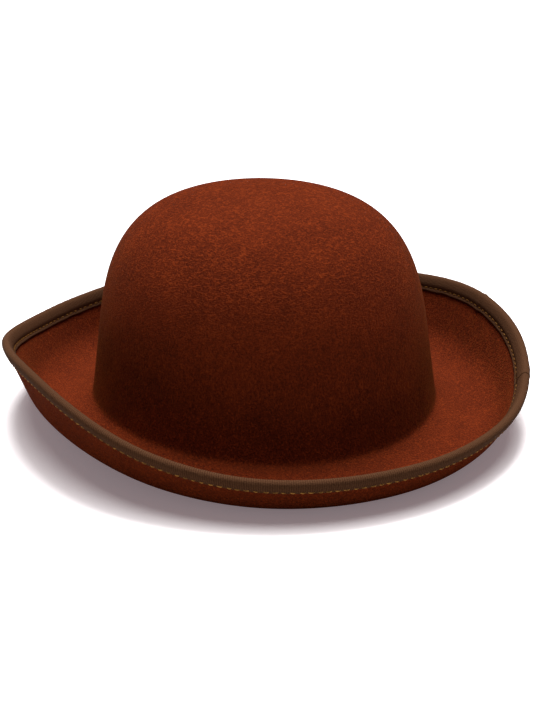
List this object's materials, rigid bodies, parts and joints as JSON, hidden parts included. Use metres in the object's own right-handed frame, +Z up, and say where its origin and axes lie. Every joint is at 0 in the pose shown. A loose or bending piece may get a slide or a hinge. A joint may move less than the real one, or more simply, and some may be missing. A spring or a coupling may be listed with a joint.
{
  "type": "bowler hat",
  "caption": "Round-crowned felt bowler hat with a curled, ribbon-bound brim, a leather sweatband and a satin lining.",
  "frame": {"origin": "on the floor under the middle of the crown", "axes": "+Z up through the crown, -Y towards the front of the hat, X across it"},
  "size_m": [0.2778, 0.2999, 0.1222],
  "materials": {
    "felt": "short-nap wool felt, rust brown",
    "ribbon": "ribbed grosgrain, dark brown",
    "thread": "golden ochre sewing thread",
    "leather": "smooth fine-grain sheepskin",
    "reed": "covered cane welt",
    "band_thread": "brown sewing thread",
    "bow_ribbon": "narrow grosgrain",
    "satin": "satin weave, soft sheen",
    "lining_thread": "fine thread"
  },
  "bodies": {
    "root": {"felt_body": "felt", "brim_binding": "ribbon", "binding_upper_thread": "thread", "binding_under_thread": "thread", "sweatband": "leather", "sweatband_reed": "reed", "sweatband_thread": "band_thread", "sweatband_bow": "bow_ribbon", "lining_side": "satin", "lining_tip": "satin", "lining_thread": "lining_thread"}
  },
  "joints": []
}
